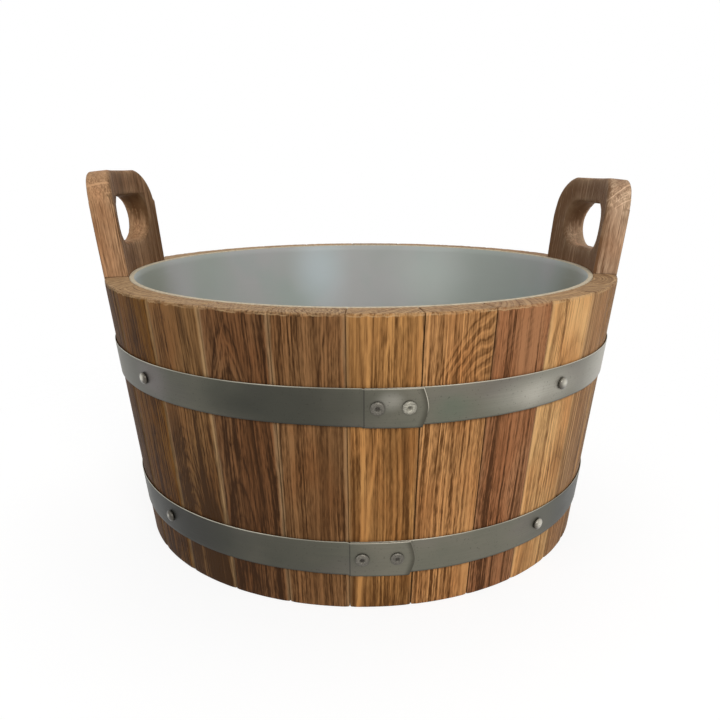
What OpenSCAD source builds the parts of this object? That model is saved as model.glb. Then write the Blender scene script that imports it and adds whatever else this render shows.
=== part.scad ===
// Coopered oak wash tub with two handle staves, two riveted steel hoops and a lift-out plastic insert.
// Millimetres. The origin is the middle of the foot, +Z is up, the handles stand on the X axis
// and the hoop laps face the front, -Y. An azimuth is counted from the front towards +X.

/* [Tub] */
// Diameter across the outside of the rim
rim_diameter = 410; // [380:2:450]
// Diameter across the outside of the foot
foot_diameter = 364; // [330:2:376]
// Height from the foot to the rim
tub_height = 205; // [185:5:240]
// Thickness of the staves
stave_thickness = 18; // [15:0.5:22]
// Bevel round the outer edge of the rim
rim_bevel = 1; // [0.5:0.25:4]
// Bevel round the outer edge of the foot
foot_bevel = 1.5; // [0.5:0.25:4]
// Depth of the groove that the eased stave edges leave along each seam
seam_groove = 0.8; // [0.3:0.1:1.5]

/* [Handles] */
// Azimuth of the middle of the left handle stave, in degrees
left_handle_azimuth = -90.7; // [-96:0.1:-86]
// Azimuth of the middle of the right handle stave, in degrees
right_handle_azimuth = 93.2; // [86:0.1:96]
// Arc that the left handle stave fills, in degrees
left_handle_arc = 32.7; // [30:0.1:38]
// Arc that the right handle stave fills, in degrees
right_handle_arc = 35; // [30:0.1:38]
// Height of the left handle above the rim, measured up its outer face
left_handle_rise = 78; // [66:0.5:90]
// Height of the right handle above the rim, measured up its outer face
right_handle_rise = 70.5; // [66:0.5:90]
// Radius of the two upper corners of a handle
handle_corner = 30; // [12:1:34]
// How much of a corner's round the flat top and the side trim off
corner_trim = 0.5; // [0.4:0.1:1.5]
// Width of the hand hole with its round ends
hand_hole_width = 76; // [56:1:80]
// Height of the hand hole
hand_hole_height = 36.5; // [26:0.5:40]
// Height of the grip above the hand hole
grip_height = 20.5; // [14:0.5:26]

/* [Bottom] */
// Height of the boards' underside above the foot
chime_height = 18; // [12:1:24]
// Thickness of the bottom boards
board_thickness = 15; // [13:0.5:20]
// Thickness of the tongue round the boards
tongue_thickness = 8; // [5:0.5:12]
// Height of the step under the tongue
tongue_step = 3; // [1:0.5:4]
// Depth of the groove in the staves that holds the tongue
croze_depth = 5; // [3:0.5:7]
// Gap between the tongue and the bottom of its groove
croze_gap = 0.4; // [0.2:0.1:1]
// Gap between the boards' edge and the staves
board_gap = 0.2; // [0.1:0.05:0.6]

/* [Hoops] */
// Width of the hoop strip
hoop_width = 25; // [20:1:30]
// Thickness of the hoop strip
hoop_thickness = 1.2; // [0.8:0.1:2]
// Height of the middle of the upper hoop
upper_hoop_height = 147; // [120:1:160]
// Height of the middle of the lower hoop
lower_hoop_height = 40; // [28:1:70]
// Azimuth of the upper hoop's outer end, in degrees
upper_hoop_end = 11; // [9:0.5:14]
// Azimuth of the lower hoop's outer end, in degrees
lower_hoop_end = 10; // [9:0.5:14]
// Distance between the two rivets of the upper hoop
upper_rivet_pitch = 19; // [14:0.5:24]
// Distance between the two rivets of the lower hoop
lower_rivet_pitch = 22.5; // [14:0.5:24]
// Distance from the outer end of a hoop to its first rivet
rivet_to_end = 12; // [9:0.5:14]
// Distance from the second rivet to the hidden end of a hoop
rivet_to_hidden_end = 8; // [6:0.5:12]
// How far the middle of the outer end stands out past its clipped corners
end_point = 3.5; // [1:0.5:6]
// Air between the two layers of a lap
lap_gap = 0.1; // [0.05:0.05:0.3]

/* [Fasteners] */
// Diameter of a rivet's head
rivet_head = 9; // [7:0.5:11]
// Height of a rivet's head
rivet_head_height = 1.2; // [0.8:0.1:2]
// Diameter of a rivet's shank
rivet_shank = 4; // [3:0.5:5]
// Length of a rivet's upset end behind the strip
rivet_upset = 2.2; // [1.5:0.1:3]
// Diameter of a hoop pin's head
pin_head = 8.5; // [5:0.5:10]
// Height of a hoop pin's head
pin_head_height = 2.6; // [1:0.1:3.5]
// Diameter of a hoop pin's shank
pin_shank = 3; // [2:0.5:4]
// Length of a hoop pin under its head
pin_length = 11; // [6:0.5:12]
// Clearance round a shank in its hole
hole_clearance = 0.05; // [0.02:0.01:0.2]

/* [Insert] */
// Wall thickness of the insert
insert_wall = 3.5; // [2:0.1:5]
// Outer radius where the insert's floor turns up into its wall
insert_corner = 14; // [8:1:30]
// Clearance between the insert and the wood
insert_clearance = 0.3; // [0.2:0.1:1]

/* [Hidden] */

// Fineness of round holes and heads
$fn = 48;
// Fineness of the turned faces
turned_fn = 180;

// Relative widths of the front staves from left to right, hand picked as a cooper picks them
front_widths = [34.2, 28, 27, 27, 26, 26, 26, 25, 26, 23, 31.9];
// Relative widths of the back staves from right to left
back_widths = [29, 28, 30, 28, 29, 29, 28, 29, 28, 29];
// Hoop pins: the stave that each goes through, by its place in the two lists, and the place across that stave
front_pins = [[1, 0.62], [8, 0.45]];
back_pins = [[1, 0.5], [8, 0.5]];
// Number of bottom boards
board_count = 5;

// Lean of the wall, in degrees from the vertical
lean = atan((rim_diameter - foot_diameter) / 2 / tub_height);
// Thickness of the staves measured level
level_thickness = stave_thickness / cos(lean);
// Azimuths where the front and the back staves begin, and the arcs that they fill
front_start = left_handle_azimuth + left_handle_arc / 2;
front_arc = right_handle_azimuth - right_handle_arc / 2 - front_start;
back_start = right_handle_azimuth + right_handle_arc / 2;
back_arc = 360 + left_handle_azimuth - left_handle_arc / 2 - back_start;
// Places of the tongue and of the floors
tongue_low = chime_height + tongue_step;
tongue_high = tongue_low + tongue_thickness;
boards_top = chime_height + board_thickness;
insert_floor = boards_top + insert_clearance;
// A length that passes every piece, for cuts
beyond = 60;

// Radius of the outer and of the inner face of the wood at height z
function outer_r(z) = foot_diameter / 2 + z * tan(lean);
function inner_r(z) = outer_r(z) - level_thickness;
// Radius at the bottom of the groove that holds the boards
function croze_r() = inner_r(tongue_low) + croze_depth;
// Degrees that a length takes up along the wall at height z
function along(length, z) = length / outer_r(z) * 180 / PI;
// Sum of the first n values of a list
function first_sum(list, n) = n < 1 ? 0 : list[n - 1] + first_sum(list, n - 1);
// Azimuth of seam i of a run of staves that starts at start and fills arc
function seam(widths, start, arc, i) = start + arc * first_sum(widths, i) / first_sum(widths, len(widths));
function front_seam(i) = seam(front_widths, front_start, front_arc, i);
function back_seam(i) = seam(back_widths, back_start, back_arc, i);
// A point of a strip's section at height z, n outside the face of the wood
function strip_point(z, n) = [outer_r(z) + n * cos(lean), z - n * sin(lean)];
// Points of an arc in a section
function arc_points(middle, r, from, to, steps) =
    [for (i = [0 : steps]) middle + r * [cos(from + (to - from) * i / steps), sin(from + (to - from) * i / steps)]];

// Azimuths of the pins and rivets
pin_azimuths = concat(
    [for (p = front_pins) front_seam(p[0]) * (1 - p[1]) + front_seam(p[0] + 1) * p[1]],
    [for (p = back_pins) back_seam(p[0]) * (1 - p[1]) + back_seam(p[0] + 1) * p[1]]);
upper_rivets = rivet_azimuths(upper_hoop_height, upper_hoop_end, upper_rivet_pitch);
lower_rivets = rivet_azimuths(lower_hoop_height, lower_hoop_end, lower_rivet_pitch);
function rivet_azimuths(z, end, pitch) =
    [for (i = [0 : 1]) end - along(rivet_to_end + i * pitch, z)];

// Heights at which a rivet's stack ends and a pin's head sits, above the wood
lap_height = 2 * hoop_thickness + lap_gap;

// Puts its children on the outer face: +Z out of the wood, +X down the slope, +Y along the seam line's azimuth
module on_wall(azimuth, z, lift = 0) {
    rotate([0, 0, azimuth - 90])
        translate([outer_r(z), 0, z])
            rotate([0, 90 + lean, 0])
                translate([0, 0, lift])
                    children();
}

// Turns a section round the axis from one azimuth to another
module turned(from, to) {
    rotate([0, 0, from - 90])
        rotate_extrude(angle = to - from, $fn = turned_fn)
            children();
}

// Section of an ordinary stave: bevelled foot and rim, and the groove for the boards
module stave_section() {
    polygon([
        [inner_r(0), 0],
        [outer_r(0) - foot_bevel, 0],
        [outer_r(foot_bevel), foot_bevel],
        [outer_r(tub_height - rim_bevel), tub_height - rim_bevel],
        [outer_r(tub_height) - rim_bevel, tub_height],
        [inner_r(tub_height), tub_height],
        [inner_r(tongue_high), tongue_high],
        [croze_r(), tongue_high],
        [croze_r(), tongue_low],
        [inner_r(tongue_low), tongue_low]
    ]);
}

// Section of a handle stave, longer than a handle that rises by rise and still uncut at the top
module handle_stave_section(rise) {
    top = tub_height + rise + stave_thickness;
    polygon([
        [inner_r(0), 0],
        [outer_r(0) - foot_bevel, 0],
        [outer_r(foot_bevel), foot_bevel],
        [outer_r(top), top],
        [inner_r(top), top],
        [inner_r(tongue_high), tongue_high],
        [croze_r(), tongue_high],
        [croze_r(), tongue_low],
        [inner_r(tongue_low), tongue_low]
    ]);
}

// What is planed off a stave's outer edge up to height top: way is 1 where the stave begins, -1 where it ends
module eased_edge(azimuth, way, top) {
    length = top + beyond / 2;
    side = 10 * seam_groove;
    on_wall(azimuth, top / 2)
        rotate([45 * way, 0, 0])
            translate([-length / 2, -side / 2, -seam_groove / sqrt(2)])
                cube([length, side, side]);
}

// The holes in the wood between two azimuths: pockets behind rivets and bores for pins
module fastener_cuts(from, to) {
    for (z = [upper_hoop_height, lower_hoop_height])
        for (a = pin_azimuths)
            if (a > from && a < to)
                on_wall(a, z, -pin_length)
                    cylinder(r = pin_shank / 2 + hole_clearance, h = pin_length + beyond / 2);
    for (a = upper_rivets)
        if (a > from && a < to)
            rivet_pocket(a, upper_hoop_height);
    for (a = lower_rivets)
        if (a > from && a < to)
            rivet_pocket(a, lower_hoop_height);
}

module rivet_pocket(azimuth, z) {
    depth = rivet_upset + 4 * hole_clearance;
    on_wall(azimuth, z, -depth)
        cylinder(r = upset_radius() + 4 * hole_clearance, h = depth + beyond / 2);
}
function upset_radius() = rivet_shank * 0.72;

// One ordinary stave between two seams
module stave(from, to) {
    difference() {
        turned(from, to)
            stave_section();
        eased_edge(from, 1, tub_height);
        eased_edge(to, -1, tub_height);
        fastener_cuts(from, to);
    }
}

module front_stave(i) {
    color(wood_tone(i))
        stave(front_seam(i), front_seam(i + 1));
}

module back_stave(i) {
    color(wood_tone(i + 3))
        stave(back_seam(i), back_seam(i + 1));
}

// Brown of one board or stave, a little different from its neighbours
function wood_tone(i) = [0.60, 0.41, 0.24] * (0.94 + 0.1 * sin(i * 137));

// Puts its children on the outer face at the rim: +X out, +Y towards growing azimuth, +Z up the slope
module at_rim(azimuth) {
    rotate([0, 0, azimuth - 90])
        translate([outer_r(tub_height), 0, tub_height])
            rotate([0, lean, 0])
                children();
}

// A bar along X with round ends in Y, its section w wide and h high
module slot_bar(length, w, h) {
    cube([length, w - h, h], center = true);
    for (side = [-1, 1])
        translate([0, side * (w - h) / 2, 0])
            rotate([0, 90, 0])
                cylinder(d = h, h = length, center = true);
}

// What is cut off an upper corner. The stave's side lies at Y = 0 and its wood on the other side of it from side
module corner_cut(side, rise) {
    low = rise + corner_trim - handle_corner;
    difference() {
        translate([-beyond, side > 0 ? -handle_corner : handle_corner - beyond, low])
            cube([2 * beyond, beyond, 2 * beyond]);
        translate([-2 * beyond, side * (corner_trim - handle_corner), low])
            rotate([0, 90, 0])
                cylinder(r = handle_corner, h = 4 * beyond);
    }
}

// What is sawn off a handle stave: the top, the two rounded corners and the hand hole
module handle_cuts(azimuth, arc, rise) {
    at_rim(azimuth) {
        translate([-beyond, -2 * beyond, rise])
            cube([2 * beyond, 4 * beyond, beyond]);
        translate([0, 0, rise - grip_height - hand_hole_height / 2])
            slot_bar(2 * beyond, hand_hole_width, hand_hole_height);
    }
    for (side = [-1, 1])
        at_rim(azimuth + side * arc / 2)
            corner_cut(side, rise);
}

module handle_stave(azimuth, arc, rise) {
    from = azimuth - arc / 2;
    to = azimuth + arc / 2;
    difference() {
        turned(from, to)
            handle_stave_section(rise);
        handle_cuts(azimuth, arc, rise);
        eased_edge(from, 1, tub_height + rise);
        eased_edge(to, -1, tub_height + rise);
    }
}

module right_handle_stave() {
    color(wood_tone(2))
        handle_stave(right_handle_azimuth, right_handle_arc, right_handle_rise);
}

module left_handle_stave() {
    color(wood_tone(5))
        handle_stave(left_handle_azimuth, left_handle_arc, left_handle_rise);
}

// Section of the whole bottom: boards with a tongue all round
module bottom_section() {
    polygon([
        [0, chime_height],
        [inner_r(chime_height) - board_gap, chime_height],
        [inner_r(tongue_low) - board_gap, tongue_low],
        [croze_r() - croze_gap, tongue_low],
        [croze_r() - croze_gap, tongue_high],
        [inner_r(tongue_high) - board_gap, tongue_high],
        [inner_r(boards_top) - board_gap, boards_top],
        [0, boards_top]
    ]);
}

module bottom_board(i) {
    reach = croze_r();
    width = 2 * reach / board_count;
    color(wood_tone(2 * i + 1))
        intersection() {
            rotate_extrude($fn = turned_fn)
                bottom_section();
            translate([-reach, -reach + i * width, 0])
                cube([2 * reach, width, boards_top + beyond]);
        }
}

// Section of a strip from one height above the wood to another
module strip_section(z, low, high) {
    half = hoop_width / 2 * cos(lean);
    polygon([
        strip_point(z - half, low),
        strip_point(z - half, high),
        strip_point(z + half, high),
        strip_point(z + half, low)
    ]);
}

// Clips the two corners of a hoop's outer end
module end_clip(azimuth, z) {
    slant = atan(end_point / (hoop_width / 2));
    on_wall(azimuth, z)
        for (side = [0, 1])
            mirror([side, 0, 0])
                rotate([0, 0, -slant])
                    translate([-end_point, 0, -beyond / 2])
                        cube([hoop_width, beyond / 4, beyond]);
}

// A hoop: one open strip whose outer end steps up and laps over the hidden end
module hoop(z, end, pitch) {
    hidden_end = end - along(rivet_to_end + pitch + rivet_to_hidden_end, z);
    slit = along(hoop_thickness / 4, z);
    step_start = hidden_end - slit - along(2 * hoop_thickness, z);
    second = hoop_thickness + lap_gap;
    difference() {
        union() {
            turned(hidden_end, hidden_end + 360 - slit)
                strip_section(z, 0, hoop_thickness);
            turned(step_start, hidden_end - slit)
                strip_section(z, 0, lap_height);
            difference() {
                turned(step_start, end)
                    strip_section(z, second, lap_height);
                end_clip(end, z);
            }
        }
        for (a = rivet_azimuths(z, end, pitch))
            on_wall(a, z, -beyond / 2)
                cylinder(r = rivet_shank / 2 + hole_clearance, h = beyond);
        for (a = pin_azimuths)
            on_wall(a, z, -beyond / 2)
                cylinder(r = pin_shank / 2 + hole_clearance, h = beyond);
    }
}

module upper_hoop() {
    color([0.45, 0.46, 0.45])
        hoop(upper_hoop_height, upper_hoop_end, upper_rivet_pitch);
}

module lower_hoop() {
    color([0.45, 0.46, 0.45])
        hoop(lower_hoop_height, lower_hoop_end, lower_rivet_pitch);
}

// A blind rivet: low domed head with the end of its mandrel in a pit, shank, and upset end behind the strip
module rivet() {
    head_r = rivet_head / 2;
    pit_r = rivet_shank * 0.32;
    stub_r = rivet_shank * 0.22;
    upset_top = -lap_height - hole_clearance;
    upset_low = upset_top - rivet_upset;
    rotate_extrude()
        polygon([
            [0, upset_low],
            [upset_radius() * 0.7, upset_low],
            [upset_radius(), upset_low + rivet_upset / 3],
            [upset_radius(), upset_top],
            [rivet_shank / 2, upset_top],
            [rivet_shank / 2, 0],
            [head_r, 0],
            [head_r, rivet_head_height * 0.35],
            [head_r * 0.92, rivet_head_height * 0.62],
            [head_r * 0.75, rivet_head_height * 0.85],
            [head_r * 0.5, rivet_head_height],
            [pit_r, rivet_head_height],
            [pit_r, rivet_head_height * 0.4],
            [stub_r, rivet_head_height * 0.4],
            [stub_r, rivet_head_height * 0.75],
            [0, rivet_head_height * 0.75]
        ]);
}

module upper_hoop_rivets() {
    color([0.5, 0.5, 0.48])
        for (a = upper_rivets)
            on_wall(a, upper_hoop_height, lap_height)
                rivet();
}

module lower_hoop_rivets() {
    color([0.5, 0.5, 0.48])
        for (a = lower_rivets)
            on_wall(a, lower_hoop_height, lap_height)
                rivet();
}

// A pin that keeps a hoop from sliding: domed head and pointed shank
module pin() {
    point = pin_shank;
    dome = [for (t = [0 : 15 : 90]) [pin_head / 2 * cos(t), pin_head_height * (0.2 + 0.8 * sin(t))]];
    rotate_extrude()
        polygon(concat(
            [[0, -pin_length], [pin_shank / 2, point - pin_length], [pin_shank / 2, 0], [pin_head / 2, 0]],
            dome));
}

module hoop_pins(z) {
    color([0.75, 0.74, 0.7])
        for (a = pin_azimuths)
            on_wall(a, z, hoop_thickness)
                pin();
}

// The insert: a tapered basin of even wall, flush with the rim
module insert() {
    inset = insert_wall / cos(lean);
    outer_face = level_thickness + insert_clearance;
    turn_z = insert_floor + insert_corner;
    turn_r = outer_r(turn_z) - outer_face - insert_corner / cos(lean);
    middle = [turn_r, turn_z];
    color([0.72, 0.72, 0.70])
        rotate_extrude($fn = turned_fn)
            polygon(concat(
                [[0, insert_floor]],
                arc_points(middle, insert_corner, -90, -lean, 8),
                [[outer_r(tub_height) - outer_face, tub_height],
                 [outer_r(tub_height) - outer_face - inset, tub_height]],
                arc_points(middle, insert_corner - insert_wall, -lean, -90, 8),
                [[0, insert_floor + insert_wall]]));
}

for (i = [0 : len(front_widths) - 1])
    front_stave(i);
for (i = [0 : len(back_widths) - 1])
    back_stave(i);
right_handle_stave();
left_handle_stave();
for (i = [0 : board_count - 1])
    bottom_board(i);
upper_hoop();
lower_hoop();
upper_hoop_rivets();
lower_hoop_rivets();
hoop_pins(upper_hoop_height);  // upper_hoop_pins
hoop_pins(lower_hoop_height);  // lower_hoop_pins
insert();
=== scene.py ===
import math
import random

import bmesh
import bpy
from mathutils import Matrix, Vector, kdtree, noise


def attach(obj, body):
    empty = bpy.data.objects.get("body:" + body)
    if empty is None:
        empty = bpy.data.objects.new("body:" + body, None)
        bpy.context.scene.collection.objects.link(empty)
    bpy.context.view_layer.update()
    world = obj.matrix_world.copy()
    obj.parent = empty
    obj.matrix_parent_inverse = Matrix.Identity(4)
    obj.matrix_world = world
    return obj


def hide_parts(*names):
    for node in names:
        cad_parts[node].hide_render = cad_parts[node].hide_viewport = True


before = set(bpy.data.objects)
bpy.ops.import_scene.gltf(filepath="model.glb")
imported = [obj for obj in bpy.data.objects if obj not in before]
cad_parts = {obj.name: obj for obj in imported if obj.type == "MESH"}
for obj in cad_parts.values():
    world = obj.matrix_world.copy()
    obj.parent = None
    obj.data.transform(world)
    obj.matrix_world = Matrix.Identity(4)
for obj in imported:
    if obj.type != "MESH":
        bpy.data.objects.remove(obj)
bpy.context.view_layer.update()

MM = 0.001

# Sizes of the tub, in metres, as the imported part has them
FOOT_R, RIM_R, TUB_HEIGHT, STAVE_THICKNESS = 0.182, 0.205, 0.205, 0.018
SLOPE = (RIM_R - FOOT_R) / TUB_HEIGHT
LEAN = math.atan(SLOPE)
FRONT_WIDTHS = [34.2, 28, 27, 27, 26, 26, 26, 25, 26, 23, 31.9]
BACK_WIDTHS = [29, 28, 30, 28, 29, 29, 28, 29, 28, 29]
# Each handle stave: the azimuth of its middle and half the arc that it fills, in degrees, and its rise above the rim
HANDLES = {"right": (93.2, 17.5, 0.0705), "left": (-90.7, 16.35, 0.078)}
HANDLE_EASE = 0.0032
HAND_HOLE_WIDTH, HAND_HOLE_HEIGHT, GRIP_HEIGHT = 0.076, 0.0365, 0.0205
FRONT_START = HANDLES["left"][0] + HANDLES["left"][1]
FRONT_ARC = HANDLES["right"][0] - HANDLES["right"][1] - FRONT_START
BACK_START = HANDLES["right"][0] + HANDLES["right"][1]
BACK_ARC = 360 + HANDLES["left"][0] - HANDLES["left"][1] - BACK_START
TONGUE_LOW, TONGUE_HIGH, CROZE_DEPTH = 0.021, 0.029, 0.005
HOOP_WIDTH, HOOP_THICKNESS, LAP_GAP, END_POINT = 0.025, 0.0012, 0.0001, 0.0035
RIVET_TO_END, RIVET_TO_HIDDEN_END = 0.012, 0.008
# Each hoop: its height, the azimuth of its outer end and the distance between its rivets
HOOPS = {"upper_hoop": (0.147, 11.0, 0.019), "lower_hoop": (0.040, 10.0, 0.0225)}
RIVET_HEAD_R, RIVET_HEAD_H, RIVET_SHANK_R = 0.0045, 0.0012, 0.002
PIN_HEAD_R, PIN_HEAD_H, PIN_SHANK_R = 0.00425, 0.0026, 0.0015
INSERT_FLOOR, INSERT_WALL, INSERT_CORNER, INSERT_CLEARANCE = 0.0333, 0.0035, 0.014, 0.0003


def outer_r(z):
    """Radius of the outer face of the wood at a height."""
    return FOOT_R + z * SLOPE


def seams(widths, start, arc):
    """Azimuths of the seams of a run of staves."""
    places = [start]
    for width in widths:
        places.append(places[-1] + arc * width / sum(widths))
    return places


FRONT_SEAMS = seams(FRONT_WIDTHS, FRONT_START, FRONT_ARC)
BACK_SEAMS = seams(BACK_WIDTHS, BACK_START, BACK_ARC)
# Each pin goes through a stave, at a place across it
PIN_AZIMUTHS = [
    run[i] * (1 - across) + run[i + 1] * across
    for run, i, across in ((FRONT_SEAMS, 1, 0.62), (FRONT_SEAMS, 8, 0.45), (BACK_SEAMS, 1, 0.5), (BACK_SEAMS, 8, 0.5))
]


def rivet_azimuths(z, end, pitch):
    """Azimuths of the two rivets of a hoop."""
    return [end - math.degrees((RIVET_TO_END + i * pitch) / outer_r(z)) for i in range(2)]


# Helpers for node trees and meshes


class Tree:
    """Adds nodes to a tree. What a node is given is a socket to link or a plain value."""

    def __init__(self, tree):
        self.tree = tree

    def give(self, socket, value):
        if isinstance(value, bpy.types.NodeSocket):
            self.tree.links.new(value, socket)
        else:
            socket.default_value = value

    def add(self, kind, values=None, **settings):
        node = self.tree.nodes.new(kind)
        for name, value in settings.items():
            setattr(node, name, value)
        for key, value in (values or {}).items():
            self.give(node.inputs[key], value)
        return node

    def math(self, operation, *values, clamp=False):
        values = dict(enumerate(values))
        return self.add("ShaderNodeMath", values, operation=operation, use_clamp=clamp).outputs[0]

    def plus(self, *values):
        total = values[0]
        for value in values[1:]:
            total = self.math("ADD", total, value)
        return total

    def minus(self, a, b):
        return self.math("SUBTRACT", a, b)

    def times(self, *values):
        total = values[0]
        for value in values[1:]:
            total = self.math("MULTIPLY", total, value)
        return total

    def over(self, a, b):
        return self.math("DIVIDE", a, b)

    def vector(self, x=0.0, y=0.0, z=0.0):
        return self.add("ShaderNodeCombineXYZ", {0: x, 1: y, 2: z}).outputs[0]

    def parts(self, vector):
        return list(self.add("ShaderNodeSeparateXYZ", {0: vector}).outputs)

    def ramp_to(self, value, from_low, from_high, to_low=0.0, to_high=1.0, smooth=False):
        kind = "SMOOTHSTEP" if smooth else "LINEAR"
        values = {0: value, 1: from_low, 2: from_high, 3: to_low, 4: to_high}
        return self.add("ShaderNodeMapRange", values, interpolation_type=kind, clamp=True).outputs[0]

    def noise(self, vector, detail=2.0, rough=0.5):
        values = {"Vector": vector, "Scale": 1.0, "Detail": detail, "Roughness": rough}
        return self.add("ShaderNodeTexNoise", values, noise_dimensions="3D").outputs[0]

    def wave(self, value, detail=2.0, rough=0.5):
        """Noise along one value."""
        values = {"W": value, "Scale": 1.0, "Detail": detail, "Roughness": rough}
        return self.add("ShaderNodeTexNoise", values, noise_dimensions="1D").outputs[0]

    def mix(self, factor, a, b, blend="MIX"):
        node = self.add("ShaderNodeMix", data_type="RGBA", blend_type=blend, clamp_factor=True)
        for socket, value in zip((node.inputs[0], node.inputs[6], node.inputs[7]), (factor, a, b)):
            self.give(socket, value)
        return node.outputs[2]


def colour(r, g, b):
    """A colour written in the usual 0 to 255 numbers, as the linear values that nodes take."""
    def linear(c):
        c /= 255
        return c / 12.92 if c <= 0.04045 else ((c + 0.055) / 1.055) ** 2.4
    return (linear(r), linear(g), linear(b), 1.0)


def new_group(name, kind, inputs, outputs):
    """A node group with its sockets. Returns the group, its Tree, its input sockets by name and its output node."""
    group = bpy.data.node_groups.new(name, kind)
    for in_out, sockets in (("INPUT", inputs), ("OUTPUT", outputs)):
        for label, (socket_type, default) in sockets.items():
            item = group.interface.new_socket(label, in_out=in_out, socket_type="NodeSocket" + socket_type)
            if default is not None:
                item.default_value = default
    t = Tree(group)
    entry = t.add("NodeGroupInput")
    return group, t, {s.name: s for s in entry.outputs if s.name}, t.add("NodeGroupOutput")


def link(obj):
    bpy.context.scene.collection.objects.link(obj)
    return obj


def grow(name, group, values, base=None):
    """Runs a geometry tree and keeps its result as a plain mesh."""
    obj = link(bpy.data.objects.new(name, base or bpy.data.meshes.new(name)))
    modifier = obj.modifiers.new("Shape", "NODES")
    modifier.node_group = group
    for item in group.interface.items_tree:
        if item.item_type == "SOCKET" and item.in_out == "INPUT" and item.name in values:
            modifier[item.identifier] = values[item.name]
    mesh = bpy.data.meshes.new_from_object(obj.evaluated_get(bpy.context.evaluated_depsgraph_get()))
    obj.modifiers.clear()
    obj.data = mesh
    mesh.name = name
    return obj


def face_outwards(obj):
    """Turns a closed mesh the right way if its faces point inwards."""
    bm = bmesh.new()
    bm.from_mesh(obj.data)
    if bm.calc_volume(signed=True) < 0:
        bmesh.ops.reverse_faces(bm, faces=bm.faces)
        bm.to_mesh(obj.data)
    bm.free()
    return obj


def eased_box(t, counts, sizes, radius, band=2):
    """A box whose edges are rounded: its geometry and the three coordinates of its rounded points, from its middle."""
    cube = t.add("GeometryNodeMeshCube", {
        "Size": (2, 2, 2), "Vertices X": counts[0], "Vertices Y": counts[1], "Vertices Z": counts[2]})
    core, edge = [], []
    for unit, count, size in zip(t.parts(t.add("GeometryNodeInputPosition").outputs[0]), counts, sizes):
        start = 1 - 2 * band / (count - 1)
        away, side = t.math("ABSOLUTE", unit), t.math("SIGN", unit)
        flat = t.minus(t.over(size, 2.0), radius)
        core.append(t.times(side, t.ramp_to(away, 0.0, start, 0.0, flat)))
        edge.append(t.times(side, t.ramp_to(away, start, 1.0, 0.0, radius)))
    length = t.math("SQRT", t.plus(*[t.times(e, e) for e in edge]))
    share = t.over(radius, t.math("MAXIMUM", length, 1e-6))
    return cube.outputs[0], [t.plus(c, t.times(e, share)) for c, e in zip(core, edge)]


def finish_tree(t, geometry, exit_node, material):
    """Ends a tree with smooth faces, its real geometry and its material."""
    smooth = t.add("GeometryNodeSetShadeSmooth", {0: geometry})
    real = t.add("GeometryNodeRealizeInstances", {0: smooth.outputs[0]})
    dressed = t.add("GeometryNodeSetMaterial", {"Geometry": real.outputs[0], "Material": material})
    t.tree.links.new(dressed.outputs[0], exit_node.inputs[0])


def round_the_axis(t, radius, angle, z):
    return t.vector(t.times(radius, t.math("SINE", angle)), t.times(radius, -1.0, t.math("COSINE", angle)), z)


# Geometry trees for the staves, the hoops and the turned pieces


def stave_tree():
    """One planed stave: an eased box bent onto the cone, crowned towards its seams, with the groove for the boards."""
    group, t, given, out = new_group("Planed stave", "GeometryNodeTree", {
        "Start": ("Float", 0.0), "End": ("Float", 10.0), "Foot radius": ("Float", FOOT_R),
        "Rim radius": ("Float", RIM_R), "Height": ("Float", TUB_HEIGHT), "Thickness": ("Float", STAVE_THICKNESS),
        "Edge radius": ("Float", 0.001), "Crown depth": ("Float", 0.0006), "Crown width": ("Float", 0.005),
        "Unevenness": ("Float", 0.0003), "Rim wear": ("Float", 0.0011), "Seed": ("Float", 0.0),
        "Material": ("Material", None)},
        {"Geometry": ("Geometry", None)})
    start, end = t.math("RADIANS", given["Start"]), t.math("RADIANS", given["End"])
    span = t.minus(end, start)
    width = t.times(span, given["Rim radius"])
    box, (x, y, z) = eased_box(t, (26, 9, 104), (width, given["Thickness"], given["Height"]), given["Edge radius"])
    z = t.plus(z, t.over(given["Height"], 2.0))
    depth = t.plus(y, t.over(given["Thickness"], 2.0))
    outer = t.ramp_to(depth, 0.0, given["Thickness"], 1.0, 0.0)
    # The outer face falls away a little towards both seams
    to_seam = t.minus(t.over(width, 2.0), t.math("ABSOLUTE", x))
    near = t.ramp_to(to_seam, 0.0, given["Crown width"], 1.0, 0.0)
    depth = t.plus(depth, t.times(near, near, given["Crown depth"], outer))
    # Shallow marks of the plane
    marks = t.noise(t.vector(t.times(x, 55.0), given["Seed"], t.times(z, 11.0)))
    depth = t.plus(depth, t.times(marks, given["Unevenness"], outer))
    # The outer edge of the rim is rubbed round, here more and there less
    to_rim = t.minus(given["Height"], z)
    rub = t.noise(t.vector(t.times(x, 140.0), t.plus(given["Seed"], 3.0), 0.0), 3.0)
    rubbed_and_highlit = t.times(t.ramp_to(to_rim, 0.0, 0.0035, 1.0, 0.0, smooth=True), outer, t.ramp_to(rub, 0.3, 0.75))
    depth = t.plus(depth, t.times(rubbed_and_highlit, given["Rim wear"]))
    # The groove for the bottom boards is on the inner side only
    row = TUB_HEIGHT / 103
    groove = t.times(t.ramp_to(z, TONGUE_LOW - row, TONGUE_LOW), t.ramp_to(z, TONGUE_HIGH, TONGUE_HIGH + row, 1.0, 0.0))
    inner = t.math("GREATER_THAN", depth, STAVE_THICKNESS * 0.7)
    depth = t.minus(depth, t.times(groove, inner, CROZE_DEPTH))
    z = t.minus(z, t.times(rubbed_and_highlit, given["Rim wear"], 0.4))
    angle = t.plus(t.over(t.plus(start, end), 2.0), t.times(t.over(x, width), span))
    slope = t.over(t.minus(given["Rim radius"], given["Foot radius"]), given["Height"])
    r = t.minus(t.plus(given["Foot radius"], t.times(z, slope)), t.over(depth, math.cos(LEAN)))
    placed = t.add("GeometryNodeSetPosition", {"Geometry": box, "Position": round_the_axis(t, r, angle, z)})
    finish_tree(t, placed.outputs[0], out, given["Material"])
    return group


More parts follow.
